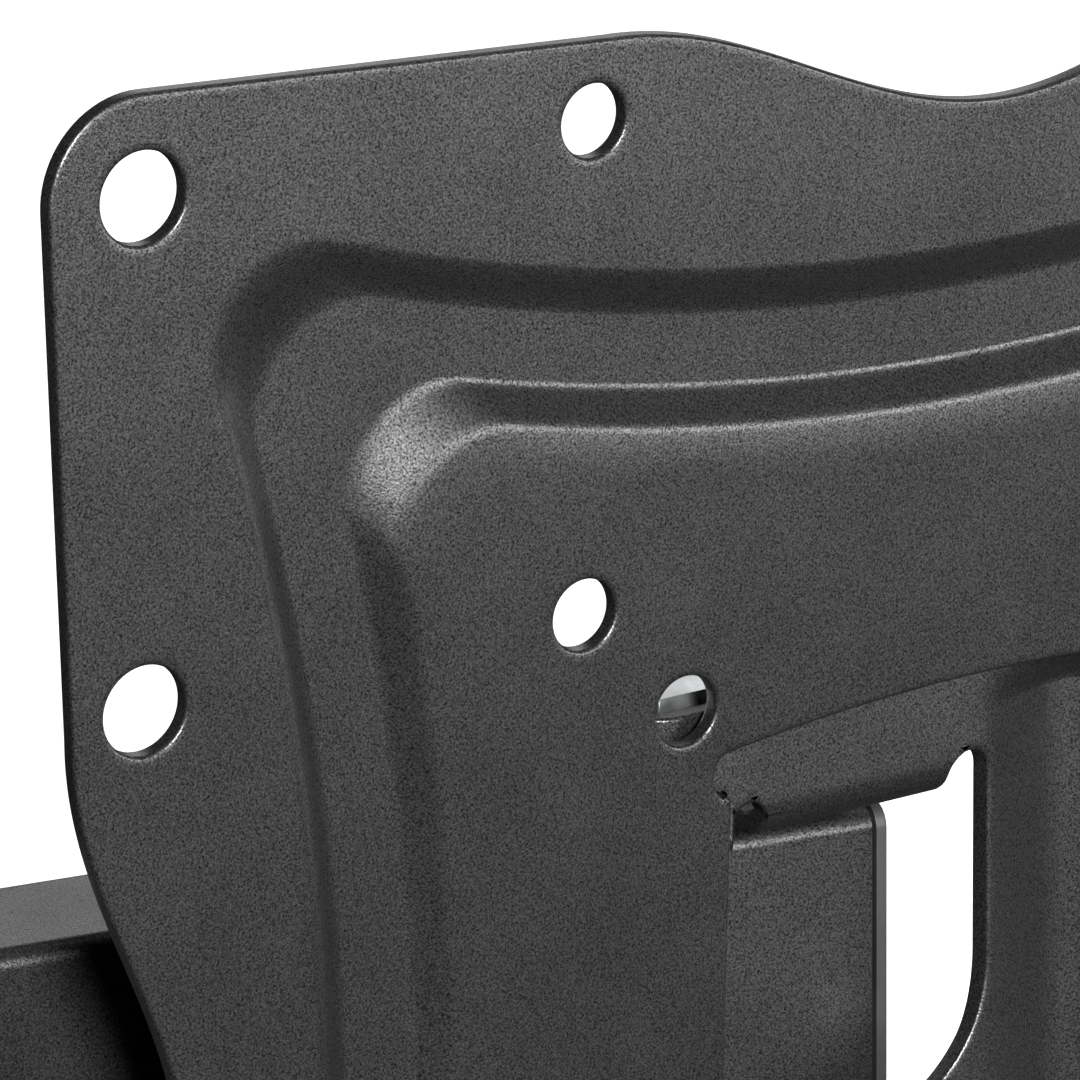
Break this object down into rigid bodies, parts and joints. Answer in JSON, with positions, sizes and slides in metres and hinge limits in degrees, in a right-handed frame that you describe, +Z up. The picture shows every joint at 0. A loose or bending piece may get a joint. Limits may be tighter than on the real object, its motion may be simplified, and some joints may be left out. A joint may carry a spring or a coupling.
{
  "type": "articulated screen wall mount",
  "caption": "Full-motion wall mount: pressed screen plate on a tilting head, two folding swivel arms and a wall plate.",
  "frame": {"origin": "middle of the wall plate on the wall", "axes": "+X to the right along the wall, -Y out into the room, +Z up"},
  "size_m": [0.326, 0.2232, 0.2242],
  "materials": {
    "powder_coat": "textured matt black powder coat",
    "plastic": "moulded black",
    "nylon": "black moulded bearing plastic",
    "zinc": "bright zinc plate"
  },
  "bodies": {
    "wall": {"bracket_rivet_1": "zinc", "bracket_rivet_2": "zinc", "bracket_rivet_3": "zinc", "bracket_rivet_4": "zinc", "wall_bush_bottom": "nylon", "wall_bush_top": "nylon", "wall_cover_bottom": "plastic", "wall_cover_top": "plastic", "wall_hinge_bracket": "powder_coat", "wall_plate": "powder_coat"},
    "rear_arm_body": {"cable_clip_rear": "plastic", "elbow_bolt": "zinc", "elbow_nut": "zinc", "elbow_washer_bottom": "zinc", "elbow_washer_top": "zinc", "rear_arm": "powder_coat", "wall_pivot_bolt": "zinc", "wall_pivot_nut": "zinc", "wall_pivot_washer_bottom": "zinc", "wall_pivot_washer_top": "zinc"},
    "front_arm_body": {"cable_clip_front": "plastic", "elbow_bush_bottom": "nylon", "elbow_bush_top": "nylon", "front_arm": "powder_coat", "front_arm_cap_elbow": "plastic", "front_arm_cap_head": "plastic", "head_bush_bottom": "nylon", "head_bush_top": "nylon"},
    "head": {"friction_washer_left": "nylon", "friction_washer_right": "nylon", "head_bolt": "zinc", "head_bracket": "powder_coat", "head_nut": "zinc", "head_washer_bottom": "zinc", "head_washer_top": "zinc", "tilt_bolt_left": "zinc", "tilt_bolt_right": "zinc", "tilt_nut_left": "zinc", "tilt_nut_right": "zinc", "tilt_washer_left": "zinc", "tilt_washer_right": "zinc"},
    "plate": {"screen_plate": "powder_coat", "plate_ear_left": "powder_coat", "plate_ear_right": "powder_coat"}
  },
  "joints": [
    {"name": "wall_swivel", "type": "hinge", "parent": "wall", "child": "rear_arm_body", "pos_m": [0, -0.03, 0], "axis": [0, 0, 1], "range_deg": [-32, 77]},
    {"name": "elbow_fold", "type": "hinge", "parent": "rear_arm_body", "child": "front_arm_body", "pos_m": [-0.14053, -0.15787, 0], "axis": [0, 0, 1], "range_deg": [-122, 17]},
    {"name": "head_swivel", "type": "hinge", "parent": "front_arm_body", "child": "head", "pos_m": [0.04658, -0.19087, 0], "axis": [0, 0, 1], "range_deg": [-8, 60]},
    {"name": "plate_tilt", "type": "hinge", "parent": "head", "child": "plate", "pos_m": [0.05988, -0.20717, 0.0344], "axis": [1, 0, 0], "range_deg": [-8, 7]}
  ]
}
